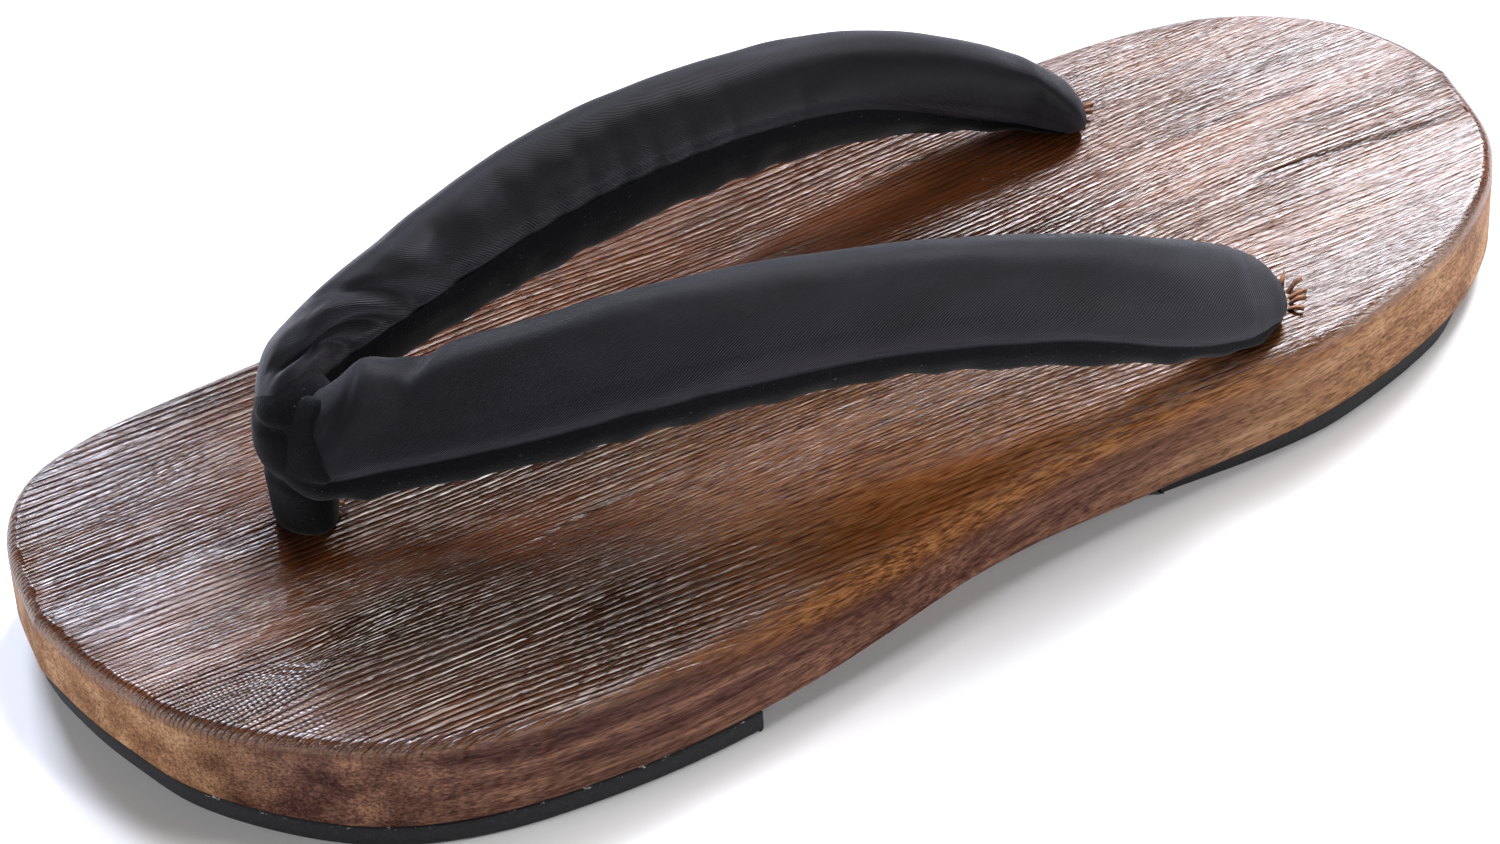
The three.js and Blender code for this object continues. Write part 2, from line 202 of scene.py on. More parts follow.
# Where the velvet collar ends on the outer arm: turn round the section in radians, place along
COLLAR_ENDS = [
    (-3.15, -0.02),
    (-1.6, -0.008),
    (-0.4, 0.02),
    (0.2, 0.028),
    (1.0, 0.006),
    (2.0, 0.016),
    (3.15, -0.02),
]

# Toe post sections: up, back, across, deep
POST = [
    (0.0, 0.0, 0.8, 0.72),
    (0.04, 0.0, 0.88, 0.8),
    (0.2, 0.0, 0.93, 0.86),
    (0.42, -0.04, 1.0, 0.95),
    (0.6, -0.1, 1.08, 1.02),
    (0.75, -0.08, 1.1, 1.04),
    (0.87, 0.0, 1.0, 0.95),
    (0.95, 0.08, 0.75, 0.72),
    (1.0, 0.12, 0.35, 0.35),
]

# Narrow and full places of the toe post: place up, reach, depth as a share (below zero it is full)
POST_PINCHES = [
    (0.42, 0.05, 0.12),
    (0.8, 0.035, 0.1),
    (0.55, 0.12, -0.05),
]

# Creases of each arm: place along, width along in mm, middle and reach round the
# section in radians, slant in mm per radian, depth in mm (a ridge is a depth below zero)
INNER_ARM_CREASES = [
    (0.02, 1.5, -0.5, 0.9, -9.0, 1.9),
    (0.05, 1.6, -0.75, 0.6, -16.0, 2.0),
    (0.085, 2.6, -0.7, 0.9, -12.0, -1.2),
    (0.12, 1.7, -0.8, 0.8, -9.0, 1.5),
    (0.165, 3.0, -0.8, 0.9, -6.0, -0.8),
    (0.215, 2.2, -1.2, 0.8, -4.0, 0.8),
    (0.25, 2.6, -1.0, 0.7, -4.0, -0.45),
    (0.3, 2.0, -1.2, 0.7, -4.0, 0.6),
    (0.345, 1.7, -1.3, 0.6, -4.0, 0.6),
    (0.39, 1.6, -1.3, 0.6, -3.0, 0.55),
    (0.43, 1.6, -1.3, 0.6, -3.0, 0.5),
    (0.47, 1.5, -1.3, 0.6, -3.0, 0.5),
    (0.515, 1.8, -1.3, 0.6, -3.0, 0.45),
    (0.57, 1.5, -1.3, 0.5, -2.0, 0.35),
    (0.66, 1.6, -1.3, 0.5, -2.0, 0.25),
    (0.93, 3.0, 0.2, 0.6, 2.0, 0.5),
]
OUTER_ARM_CREASES = [
    (0.03, 1.5, 0.7, 0.8, -7.0, 0.7),
    (0.063, 3.0, 0.1, 0.8, -3.0, -1.6),
    (0.108, 2.2, 0.1, 0.75, -5.0, 1.9),
    (0.15, 6.0, 0.1, 0.7, -4.0, -0.4),
    (0.28, 3.0, 1.9, 0.7, 5.0, 0.3),
    (0.36, 2.6, 2.0, 0.6, 5.0, 0.3),
    (0.93, 3.0, 0.0, 0.7, 2.0, 0.3),
]


def smooth_step(low, high, value):
    """0 below low, 1 above high, and a smooth rise between."""
    t = np.clip((value - low) / (high - low), 0, 1)
    return t * t * (3 - 2 * t)


def bell(value, middle, reach):
    """A soft bump of height 1."""
    return np.exp(-(((value - middle) / reach) ** 2))


def band(rise, fall, value):
    """1 between two soft ends, each given as from and to."""
    return smooth_step(*rise, value) * (1 - smooth_step(*fall, value))


def speck(i, j, seed):
    """A repeatable number from 0 to 1 for a lattice place."""
    n = np.sin(i * 12.9898 + j * 78.233 + seed * 37.719) * 43758.5453
    return n - np.floor(n)


def soft_noise(x, y, seed):
    """Smooth noise from 0 to 1 with one lattice place to a unit."""
    i, j = np.floor(x), np.floor(y)
    u, v = x - i, y - j
    u, v = u * u * (3 - 2 * u), v * v * (3 - 2 * v)
    low = speck(i, j, seed) * (1 - u) + speck(i + 1, j, seed) * u
    high = speck(i, j + 1, seed) * (1 - u) + speck(i + 1, j + 1, seed) * u
    return low * (1 - v) + high * v


def smooth_rows(rows, steps):
    """A table's rows with smooth steps between them."""
    table = np.array(rows, float)
    padded = np.vstack([table[:1], table, table[-1:]])
    result = []
    for i in range(len(table) - 1):
        a, b, c, d = padded[i : i + 4]
        for t in np.linspace(0, 1, steps, endpoint=False):
            square = (2 * a - 5 * b + 4 * c - d) * t * t
            cube = (3 * b - a - 3 * c + d) * t * t * t
            result.append(b + 0.5 * ((c - a) * t + square + cube))
    result.append(table[-1])
    return np.array(result)


def edge_at(edge, y):
    """The board edge's x at each y, in millimetres."""
    fine = smooth_rows(edge, EDGE_STEPS)
    order = np.argsort(fine[:, 0])
    return HALF_WIDTH * np.interp(y / HALF_LENGTH, fine[order, 0], fine[order, 1])


def outline_pairs(stations):
    """Outline points on the outer and inner edge at the same y, toe tip and heel tip first and last."""
    y = -HALF_LENGTH * np.cos(np.linspace(0, math.pi, stations))
    return edge_at(OUTER_EDGE, y), edge_at(INNER_EDGE, y), y


def ring_of(outer, inner, y):
    """The closed outline: toe tip, outer edge to the heel tip, inner edge back."""
    x = np.concatenate([outer, inner[-2:0:-1]])
    return np.stack([x, np.concatenate([y, y[-2:0:-1]])], -1)


def inset_ring(ring, inset):
    """The outline moved inwards by inset at each point."""
    along = np.roll(ring, -1, 0) - np.roll(ring, 1, 0)
    along /= np.linalg.norm(along, axis=1)[:, None]
    return ring + np.stack([-along[:, 1], along[:, 0]], -1) * np.asarray(inset)[..., None]


def underside_z(y):
    """The board's underside: seated on the pads, arched between them and sprung up at the toe."""
    between = np.clip((y - FRONT_PAD_END) / (HEEL_PAD_START - FRONT_PAD_END), 0, 1)
    toeward = np.maximum(0, (SPRING_LENGTH - HALF_LENGTH - y) / SPRING_LENGTH)
    return SEAT_Z + ARCH_RISE * np.sin(math.pi * between) ** 2 + TOE_SPRING * toeward**2


def new_piece(name, points, faces, material, node=None):
    """A smooth mesh in millimetres that rides on the sandal, with its finish and its CAD node."""
    mesh = bpy.data.meshes.new(name)
    mesh.from_pydata((np.asarray(points) * MM).tolist(), [], faces)
    mesh.update()
    mesh.shade_smooth()
    mesh.materials.append(material)
    piece = bpy.data.objects.new(name, mesh)
    bpy.context.scene.collection.objects.link(piece)
    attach(piece, "root")
    if node:
        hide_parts(node)
    return piece


def grid_faces(rows, columns, wrap=False):
    """Quads of a grid of points, row by row; wrap closes each row on itself."""
    faces = []
    last = columns if wrap else columns - 1
    for r in range(rows - 1):
        for c in range(last):
            a = r * columns + c
            b = r * columns + (c + 1) % columns
            faces.append((a, b, b + columns, a + columns))
    return faces


def store_number(piece, name, values):
    """A number for each vertex, for the material to read."""
    layer = piece.data.attributes.new(name, "FLOAT", "POINT")
    layer.data.foreach_set("value", np.asarray(values, np.float32))


# Board

BOARD_STATIONS = 230
BOARD_COLUMNS = 330
WALL_LEVELS = 14
ROUND_LEVELS = 7
RIDGE_PITCH = 1.0
RIDGE_DEPTH = 0.17
RIDGE_FLANK = (-0.1, 0.7)
DIP_DEPTH = 0.35
DIP_REACH = (14.0, 40.0)
TOP_CLEAR = 0.17
CRACK_WANDER = 0.5
CRACK_WAVE = 6.0

# How far the grain wanders: width, reach across and reach along in mm, shift, seed
GRAIN_WANDER = [
    (8.0, 30.0, 110.0, 5.0, 3),
    (2.4, 8.0, 42.0, 0.0, 4),
    (0.7, 2.6, 22.0, 0.0, 5),
]

# The knot that the grain bends round: place, reach, half width of its core in mm, ridges pushed aside
KNOT = (20.4, -103.0)
KNOT_REACH = (6.0, 13.0)
KNOT_CORE = 2.5
KNOT_PULL = 2.3

# Depth of the brushing, as shares: its least, and how much warm wood and the heel take away
FAINTEST_BRUSHING = 0.4
WARM_FAINTER = 0.5
HEEL_FAINTER = 0.72
HEEL_FROM = (35.0, 85.0)
BRUSH_REACH = (9.0, 38.0)
BRUSH_CONTRAST = (0.25, 0.65)

# Bands along the board, in shares of the half length: from, to
WAIST_RISE = (-0.62, -0.3)
WAIST_FALL = (0.35, 0.6)
# Painted light: from these bands to the toe and heel tips the walls are coloured paler, where the side
# windows light them more
LIT_TOE = (-0.97, -0.84)
LIT_HEEL = (0.15, 0.65)
GOLDEN_RISE = (-0.45, -0.2)
GOLDEN_FALL = (0.4, 0.7)

# Bands of height in mm below the top: the wall gives way to the top from, to
TOP_BAND = (3.2, 0.2)

# The golden waist edge and the rim: mm below the top, reach in mm, and the rim's share of gold
GOLDEN_BAND = (2.6, 2.4)
RIM_BAND = (1.5, 0.9)
RIM_SHARE = 0.55

# Warm and scorched zones of the top: x, y, reach across, reach along in mm, warmth (below 0 is scorched; the
# zone at x 4, y 20 is painted shade)
WARM_AND_SHADED_ZONES = [
    (40.0, -15.0, 10.0, 34.0, 0.45),
    (47.0, 14.0, 6.0, 30.0, 0.5),
    (33.0, 42.0, 7.0, 22.0, 0.5),
    (26.0, -40.0, 16.0, 26.0, -0.35),
    (7.0, -96.0, 7.0, 12.0, 0.8),
    (-30.0, 28.0, 9.0, 20.0, 0.9),
    (-22.0, 52.0, 8.0, 22.0, 0.7),
    (10.0, -76.0, 9.0, 12.0, -0.6),
    (34.0, -72.0, 18.0, 30.0, -0.55),
    (22.0, -92.0, 9.0, 10.0, -0.5),
    # Painted shade: darkens the top between the arms, where the far arm's dark reflection lies on the lacquer
    (4.0, 20.0, 15.0, 36.0, -1.3),
    (-8.0, -22.0, 10.0, 22.0, -0.8),
    (-16.0, -124.0, 12.0, 10.0, -0.4),
    (-36.0, -104.0, 12.0, 20.0, -0.5),
]

# Zones with fainter brushing: x, y, reach across, reach along in mm, share taken away
FAINT_ZONES = [
    (30.0, -12.0, 22.0, 32.0, 0.45),
    (-38.0, -108.0, 20.0, 26.0, 0.4),
]

# Zones where the straps shade the lacquer, painted as less gloss: x, y, reach across, reach along in mm,
# share taken away
STRAP_SHADE_ZONES = [
    (41.0, -8.0, 22.0, 38.0, 0.95),
    (2.0, -10.0, 16.0, 36.0, 0.35),
    (24.0, -66.0, 22.0, 30.0, 0.3),
]

# Cracks on top of the board: from x, y to x, y, half width and depth in mm
CRACKS = [
    (-1.0, 88.0, 3.0, 131.0, 0.55, 0.9),
    (-19.0, 78.0, -17.0, 112.0, 0.4, 0.5),
    (-38.0, 30.0, -37.0, 66.0, 0.45, 0.5),
    (14.0, -62.0, 12.0, -30.0, 0.4, 0.45),
]


def zone_sum(zones, x, y):
    """The soft zones of a table added together."""
    total = 0.0
    for x0, y0, across, along, weight in zones:
        total = total + weight * bell(x, x0, across) * bell(y, y0, along)
    return total


def grain_phase(x, y):
    """How many ridges lie between the middle line and each place; a groove at each whole number."""
    wander = 0.0
    for width, across, along, shift, seed in GRAIN_WANDER:
        wander = wander + width * (soft_noise(x / across + shift, y / along, seed) - 0.5)
    near = bell(x, KNOT[0], KNOT_REACH[0]) * bell(y, KNOT[1], KNOT_REACH[1])
    pull = KNOT_PULL * near * np.tanh((x - KNOT[0]) / KNOT_CORE)
    return (x + wander + pull) / RIDGE_PITCH


def ridge_strength(x, y):
    """How deep the brushing is: patchy, fainter in the warm zones, at the heel and inside the toe."""
    patches = smooth_step(*BRUSH_CONTRAST, soft_noise(x / BRUSH_REACH[0] + 7, y / BRUSH_REACH[1], 12))
    strength = FAINTEST_BRUSHING + (1 - FAINTEST_BRUSHING) * patches
    strength = strength * (1 - WARM_FAINTER * np.clip(zone_sum(WARM_AND_SHADED_ZONES, x, y), 0, 1))
    strength = strength * (1 - HEEL_FAINTER * smooth_step(*HEEL_FROM, y))
    for zone in FAINT_ZONES:
        strength = strength * (1 - zone_sum([zone], x, y))
    return strength


def ridge_height(x, y):
    """Brushed grain from 0 in every second groove to 1 between."""
    ridge = smooth_step(*RIDGE_FLANK, np.abs(np.sin(math.pi * grain_phase(x, y) / 2)))
    return 1 - ridge_strength(x, y) * (1 - ridge)


def crack_depth(x, y):
    """The open crack by the heel and three shorter ones, in millimetres."""
    deep = 0.0
    for x0, y0, x1, y1, width, depth in CRACKS:
        t = np.clip((y - y0) / (y1 - y0), 0, 1)
        middle = x0 + (x1 - x0) * t + CRACK_WANDER * np.sin(y / CRACK_WAVE)
        taper = np.sin(math.pi * t) ** 0.5 * ((y > y0) & (y < y1))
        deep = deep + depth * taper * bell(x, middle, width)
    return deep


def board_rings():
    """Rings round the board, from the underside up the wall and over the edge to the top."""
    outer, inner, y = outline_pairs(BOARD_STATIONS)
    ring = ring_of(outer, inner, y)
    waist = band(WAIST_RISE, WAIST_FALL, ring[:, 1] / HALF_LENGTH)
    top_round = TOP_EDGE_ROUND + (WAIST_EDGE_ROUND - TOP_EDGE_ROUND) * waist * (ring[:, 0] > 0)
    rings = []
    for turn in np.linspace(0, math.pi / 2, ROUND_LEVELS):
        flat = inset_ring(ring, np.full(len(ring), BOTTOM_EDGE_ROUND * (1 - math.sin(turn))))
        z = underside_z(flat[:, 1]) + BOTTOM_EDGE_ROUND * (1 - math.cos(turn))
        rings.append(np.column_stack([flat, z]))
    low = rings[-1]
    high = np.column_stack([ring, TOP_Z - top_round])
    for t in np.linspace(0, 1, WALL_LEVELS)[1:-1]:
        rings.append(low * (1 - t) + high * t)
    for turn in np.linspace(0, math.pi / 2, ROUND_LEVELS):
        flat = inset_ring(ring, top_round * (1 - math.cos(turn)))
        rings.append(np.column_stack([flat, TOP_Z - top_round * (1 - math.sin(turn))]))
    return rings


def underside_faces(count):
    """Faces across the underside, between the outer and the inner half of the first ring."""
    faces = []
    for k in range(BOARD_STATIONS - 1):
        far, next_far = (count - k) % count, count - k - 1
        faces.append(tuple(dict.fromkeys((k, far, next_far, k + 1))))
    return faces


def add_top(points, rim, start):
    """The points with rows added across the top, and the top's faces; the rim's points begin at start."""
    count = len(rim)
    shares = np.linspace(0, 1, BOARD_COLUMNS)[1:-1, None]
    index = np.zeros((BOARD_STATIONS, BOARD_COLUMNS), int)
    added = []
    for k in range(BOARD_STATIONS):
        far = (count - k) % count
        index[k, :] = start + k
        index[k, -1] = start + far
        if far != k:
            index[k, 1:-1] = len(points) + len(added) + np.arange(BOARD_COLUMNS - 2)
            added.extend(rim[k] + (rim[far] - rim[k]) * shares)
    faces = []
    for k in range(BOARD_STATIONS - 1):
        for c in range(BOARD_COLUMNS - 1):
            quad = (index[k, c], index[k + 1, c], index[k + 1, c + 1], index[k, c + 1])
            corners = tuple(dict.fromkeys(int(q) for q in quad))
            if len(corners) > 2:
                faces.append(corners)
    return np.vstack([points, np.array(added)]), faces


def build_board(wood):
    """The wooden board, with its brushed ridges, cracks and rounded edges."""
    rings = board_rings()
    count = len(rings[0])
    points, top = add_top(np.vstack(rings), rings[-1], (len(rings) - 1) * count)
    faces = grid_faces(len(rings), count, wrap=True) + underside_faces(count) + top
    x, y, z = points.T
    upward = smooth_step(TOP_Z - TOP_BAND[0], TOP_Z - TOP_BAND[1], z)
    dips = DIP_DEPTH * (soft_noise(x / DIP_REACH[0], y / DIP_REACH[1], 21) - 0.5)
    cracks = crack_depth(x, y)
    carved = z - upward * (RIDGE_DEPTH * (1 - ridge_height(x, y)) + cracks - dips + TOP_CLEAR)
    piece = new_piece("wooden_board", np.column_stack([x, y, carved]), faces, wood, "sole_board")
    along = y / HALF_LENGTH
    golden = bell(carved, TOP_Z - GOLDEN_BAND[0], GOLDEN_BAND[1]) * band(GOLDEN_RISE, GOLDEN_FALL, along)
    rim = RIM_SHARE * bell(carved, TOP_Z - RIM_BAND[0], RIM_BAND[1])
    store_number(piece, "phase", grain_phase(x, y))
    store_number(piece, "strength", ridge_strength(x, y))
    # Painted shade: the lacquer shines less where the straps shade it
    store_number(piece, "gloss", 1 - zone_sum(STRAP_SHADE_ZONES, x, y))
    # Warmth of the wood; below zero it is scorched, and between the arms it is painted shade
    store_number(piece, "warmth_and_shade", zone_sum(WARM_AND_SHADED_ZONES, x, y))
    # Painted light: paler walls towards the toe and heel
    store_number(piece, "pale", smooth_step(*LIT_HEEL, along) + 1 - smooth_step(*LIT_TOE, along))
    store_number(piece, "golden", np.maximum(golden * (x > 0), rim))
    store_number(piece, "upward", upward)
    # Painted shade: how deep the cracks are, for darkening them
    store_number(piece, "crack", np.clip(cracks * upward, 0, 1))
    return piece


# Splinters where the strap enters the board: x, y of the root, length along x and y, rise in mm
SPLINTERS = [
    (26.6, 74.6, -2.2, 2.4, 1.5),
    (28.2, 75.0, -0.6, 3.2, 1.9),
    (29.4, 74.4, 0.8, 3.0, 1.2),
    (30.6, 73.6, 1.4, 2.4, 1.6),
    (31.6, 72.6, 2.2, 1.7, 1.1),
    (-33.4, 74.0, 1.0, 2.6, 1.4),
    (-32.2, 73.0, 2.0, 2.0, 1.8),
    (-31.4, 71.8, 2.6, 0.8, 1.0),
    (-10.8, -84.0, 1.8, 2.0, 1.6),
    (-9.4, -84.4, 2.2, 1.0, 1.1),
]


# A splinter's sections: share of its length, width, height
SPLINTER_SECTIONS = [
    (0.0, 1.0, 0.0),
    (0.5, 0.7, 0.8),
    (1.0, 0.12, 1.0),
]
SPLINTER_HALF_WIDTH = 0.55
SPLINTER_KEEL = 0.6
SPLINTER_KEEL_RISE = 0.75


def build_splinters(wood):
    """Small torn slivers of wood round the strap's holes, each a bent spike of three-sided sections."""
    points, faces = [], []
    for x, y, dx, dy, rise in SPLINTERS:
        start = len(points)
        side = np.array([-dy, dx]) / math.hypot(dx, dy) * SPLINTER_HALF_WIDTH
        for t, width, height in SPLINTER_SECTIONS:
            middle = np.array([x + dx * t, y + dy * t])
            for sign in (-1, 1):
                points.append([*(middle + sign * side * width), TOP_Z + rise * height])
            points.append([*middle, TOP_Z - SPLINTER_KEEL + rise * height * SPLINTER_KEEL_RISE])
        faces += [tuple(start + k for k in face) for face in grid_faces(len(SPLINTER_SECTIONS), 3, wrap=True)]
        faces.append((start, start + 2, start + 1))
        faces.append((start + 6, start + 7, start + 8))
    return new_piece("torn_splinters", points, faces, wood)


# Rubber pads

PAD_STATIONS = 200
PAD_ROWS = 90
PAD_TIP_CLEAR = 0.4
PAD_ROUND_LEVELS = 4


def pad_loop(insets, y_from, y_to):
    """The pad's outline from above: the outer edge towards the heel, then the inner edge back."""
    outer, inner, y = outline_pairs(PAD_STATIONS)
    ring = ring_of(outer, inner, y)
    table = np.array(insets)
    inset = RUBBER_THICK * np.interp(ring[:, 1] / HALF_LENGTH, table[:, 0], table[:, 1])
    flat = inset_ring(ring, inset)
    heel = PAD_STATIONS - 1
    outer_edge = flat[: heel + 1]
    inner_edge = np.vstack([flat[:1], flat[:heel:-1], flat[heel : heel + 1]])
    y_from = max(y_from, flat[:, 1].min() + PAD_TIP_CLEAR)
    y_to = min(y_to, flat[:, 1].max() - PAD_TIP_CLEAR)
    rows = (y_from + y_to) / 2 - (y_to - y_from) / 2 * np.cos(np.linspace(0, math.pi, PAD_ROWS))
    outer_x = np.interp(rows, outer_edge[:, 1], outer_edge[:, 0])
    inner_x = np.interp(rows, inner_edge[:, 1], inner_edge[:, 0])
    return np.column_stack([np.r_[outer_x, inner_x[::-1]], np.r_[rows, rows[::-1]]])


def build_pad(name, insets, y_from, y_to, rubber, node):
    """A rubber pad that follows the board's underside, with softened edges."""
    loop = pad_loop(insets, y_from, y_to)
    levels = []
    for turn in np.linspace(0, math.pi / 2, PAD_ROUND_LEVELS):
        levels.append((RUBBER_EDGE_ROUND * (1 - math.sin(turn)), RUBBER_EDGE_ROUND * (1 - math.cos(turn))))
    levels.append((0.0, RUBBER_THICK / 2))
    levels.append((0.0, RUBBER_THICK))
    rings = []
    for shrink, rise in levels:
        ring = inset_ring(loop, np.full(len(loop), shrink))
        z = underside_z(ring[:, 1]) - SEAT_Z + rise
        rings.append(np.column_stack([ring, z]))
    points = np.vstack(rings)
    count = len(loop)
    top = (len(rings) - 1) * count
    faces = grid_faces(len(rings), count, wrap=True)
    for k in range(PAD_ROWS - 1):
        a, b, c, d = k, k + 1, count - 1 - k, count - 2 - k
        faces.append((a, c, d, b))
        faces.append((top + a, top + b, top + d, top + c))
    piece = new_piece(name, points, faces, rubber, node)
    seam = np.zeros(len(points))
    seam[top:] = 1.0
    store_number(piece, "seam", seam)
    return piece


# Strap

ARM_STEPS = 22
ARM_SIDES = 120
CLOTH_REACH = 62.0
SECTION_POWER = 0.85
TIP_LENGTH = 0.005
TIP_ROWS = 7
TIP_LEAST = 0.03

# Seams: turn in radians from the arm's top, drop towards the rear hole and where it runs along
SEAM_OUTSIDE = 2.08
SEAM_INSIDE = 1.68
SEAM_DROP = 0.55
SEAM_DROP_RUN = (0.72, 0.99)
SEAM_DEPTH = 1.0
SEAM_WIDTH = 0.13
SEAM_LAP = 0.05

# Where the hollows of an arm begin and end, in shares of its run
HOLLOW_RISE = (-0.03, 0.005)
HOLLOW_FALL = (0.975, 1.002)

# Uneven cloth, in millimetres, and how often it changes along an arm and round it
PUCKER_DEPTH, PUCKER_RATE = 0.35, (22, 2.2)
RIPPLE_DEPTH, RIPPLE_RATE = 0.5, (50, 1.5)
CRUMPLE_DEPTH, CRUMPLE_RATE = 0.9, (70, 2)

# Velvet under the arms: scallops between the seams
VELVET_PROUD = 0.35
SCALLOP_LENGTH = 12.5
SCALLOP_DEPTH = 0.3
SCALLOP_DRIFT, SCALLOP_DRIFT_RATE = 1.7, 21
SCALLOP_RISE = (0.0, 0.25)
SCALLOP_FALL = (0.75, 1.0)

# Velvet collar round the front end: it stands proud, and its rear lip turns in
COLLAR_PROUD = 0.7
COLLAR_ROWS = 30
LIP_RUN = (0.7, 0.9)
LIP_DEPTH = 0.5


def crease_depth(creases, along, turn, run):
    """Depth of the listed creases at each point of an arm, in millimetres."""
    depth = np.zeros_like(along)
    for place, width, middle, reach, slant, deep in creases:
        offset = (along - place) * run - slant * (turn - middle)
        depth += deep * bell(offset, 0, width) * bell(turn, middle, reach)
    return depth


def cloth_noise(depth, rate, along, turn, seed):
    """Unevenness of the cloth round its mean, in millimetres."""
    return depth * (soft_noise(along * rate[0], turn * rate[1], seed) - 0.5)


def collar_depth(along, turn):
    """The collar's crumpled nap and turned-in lip, in millimetres."""
    lip = smooth_step(*LIP_RUN, np.linspace(0, 1, COLLAR_ROWS))[:, None]
    crumple = cloth_noise(CRUMPLE_DEPTH, CRUMPLE_RATE, along, np.abs(turn), 61)
    return crumple - COLLAR_PROUD * (1 - lip) + LIP_DEPTH * lip


def velvet_depth(along, turn, share, run):
    """The scallops and ripples of the velvet under an arm, in millimetres."""
    drift = SCALLOP_DRIFT * np.sin(along * SCALLOP_DRIFT_RATE)
    wave = np.sin(2 * math.pi * along * run / SCALLOP_LENGTH + drift)
    ripple = cloth_noise(RIPPLE_DEPTH, RIPPLE_RATE, along, turn, 50)
    return (SCALLOP_DEPTH * wave + ripple) * band(SCALLOP_RISE, SCALLOP_FALL, share) - VELVET_PROUD


def rounded_tip(rows):
    """The rows of an arm with a rounded end added, which closes it over its hole."""
    added = []
    for turn in np.linspace(0, math.pi / 2, TIP_ROWS)[1:]:
        row = rows[-1].copy()
        row[0] += TIP_LENGTH * math.sin(turn)
        row[3:5] *= max(math.cos(turn), TIP_LEAST)
        added.append(row)
    return np.vstack([rows, added])


def collar_places(front, share):
    """Places along the arm of the collar's rows, from the arm's front to the collar's uneven end."""
    ends = np.array(COLLAR_ENDS)
    end = np.interp(math.pi * (2 * share - 1), ends[:, 0], ends[:, 1])
    return front + (end - front) * np.linspace(0, 1, COLLAR_ROWS)[:, None]


def cover_turns(cover, share, outside, inside):
    """Turn of each point round the section: satin over the top, velvet under it, the collar all round."""
    if cover == "collar":
        return math.pi * (2 * share[None, :] - 1) + 0 * outside
    if cover == "velvet":
        return outside + (2 * math.pi - inside - outside) * share[None, :]
    return -inside - SEAM_LAP + (outside + inside + 2 * SEAM_LAP) * share[None, :]


def section_reach(half, depth, part):
    """Reach from the section's middle on one axis; part is the cosine or sine of the turn."""
    return (half - depth * np.abs(part)) * np.sign(part) * np.abs(part) ** SECTION_POWER


def arm_surface(side, share, cover, creases):
    """Points of an arm's satin, of the velvet under it, or of the velvet collar round its front end.

    Turn 0 is the arm's top; above 0 is its outside.
    """
    front = OUTER_ARM_FRONT if side > 0 else INNER_ARM_FRONT
    rows = rounded_tip(smooth_rows(front + ARM_BACK, ARM_STEPS))
    toe = np.array(TOE_HOLE)
    run = np.array([REAR_HOLE_MIDDLE, REAR_HOLE_Y]) - toe
    length = np.linalg.norm(run)
    across = np.array([run[1], -run[0]]) / length
    along = rows[:, :1] + 0 * share
    if cover == "collar":
        along = collar_places(rows[0, 0], share)
    out, up, tall, thick, lean = (np.interp(along, rows[:, 0], rows[:, i]) for i in range(1, 6))
    drop = SEAM_DROP * smooth_step(*SEAM_DROP_RUN, along)
    outside = SEAM_OUTSIDE + drop
    inside = SEAM_INSIDE + drop
    turn = cover_turns(cover, share, outside, inside)
    depth = crease_depth(creases, along, turn, length)
    depth = depth + cloth_noise(PUCKER_DEPTH, PUCKER_RATE, along, turn, 30 + side)
    for middle in (outside, -inside, 2 * math.pi - inside):
        depth = depth + SEAM_DEPTH * bell(turn, middle, SEAM_WIDTH)
    if cover == "collar":
        depth = depth + collar_depth(along, turn)
    if cover == "velvet":
        depth = depth + velvet_depth(along, turn, share, length)
    depth = depth * band(HOLLOW_RISE, HOLLOW_FALL, along)
    u = section_reach(tall * STRAP_TALL / 2, depth, np.cos(turn))
    v = section_reach(thick * STRAP_THICK / 2, depth, np.sin(turn))
    sideways = -u * np.cos(lean) + v * np.sin(lean)
    upward = u * np.sin(lean) + v * np.cos(lean)
    outward = side * (out * REAR_HOLE_SPREAD + sideways)
    reach = along * (1 if side > 0 else INNER_ARM_SHARE)
    x = toe[0] + run[0] * reach + across[0] * outward
    y = toe[1] + run[1] * reach + across[1] * outward
    z = TOP_Z + up * STRAP_RISE + upward
    return np.stack([x, y, z], -1)


def lay_cloth(piece, points):
    """Cloth coordinates in millimetres, along the arm and round it, for the twill."""
    columns = points.shape[1]
    layer = piece.data.uv_layers.new(name="cloth")
    step = np.linalg.norm(np.diff(points, axis=0), axis=-1)
    lengthwise = np.vstack([np.zeros(columns), np.cumsum(step, 0)]).mean(1)
    around = np.linspace(0, 1, columns) * CLOTH_REACH
    corners = np.zeros(len(piece.data.loops), int)
    piece.data.loops.foreach_get("vertex_index", corners)
    flat = np.stack([lengthwise[corners // columns], around[corners % columns]], -1)
    layer.data.foreach_set("uv", flat.astype(np.float32).ravel())


def build_arm_part(name, side, share, cover, creases, material):
    """The satin, the velvet or the collar of one arm."""
    points = arm_surface(side, share, cover, creases)
    faces = grid_faces(*points.shape[:2])
    if side < 0:
        faces = [face[::-1] for face in faces]
    piece = new_piece(name, points.reshape(-1, 3), faces, material, "strap")
    lay_cloth(piece, points)
    return piece


def build_strap(satin, velvet):
    """Both padded arms: satin over the top, velvet under it, pinched together along the seams."""
    over = np.linspace(0, 1, ARM_SIDES)
    under = np.linspace(0, 1, ARM_SIDES // 2)
    for side, word, creases in ((1, "outer", OUTER_ARM_CREASES), (-1, "inner", INNER_ARM_CREASES)):
        build_arm_part("strap_satin_" + word, side, over, "satin", creases, satin)
        build_arm_part("strap_velvet_" + word, side, under, "velvet", [], velvet)
    build_arm_part("strap_collar", 1, over, "collar", OUTER_ARM_CREASES, velvet)


# Toe post

POST_STEPS = 10
POST_SIDES = 72
LOBE_DEPTH = 0.05
LOBE_COUNT = 3
LOBE_START = 1.2
LOBE_TWIST = 5


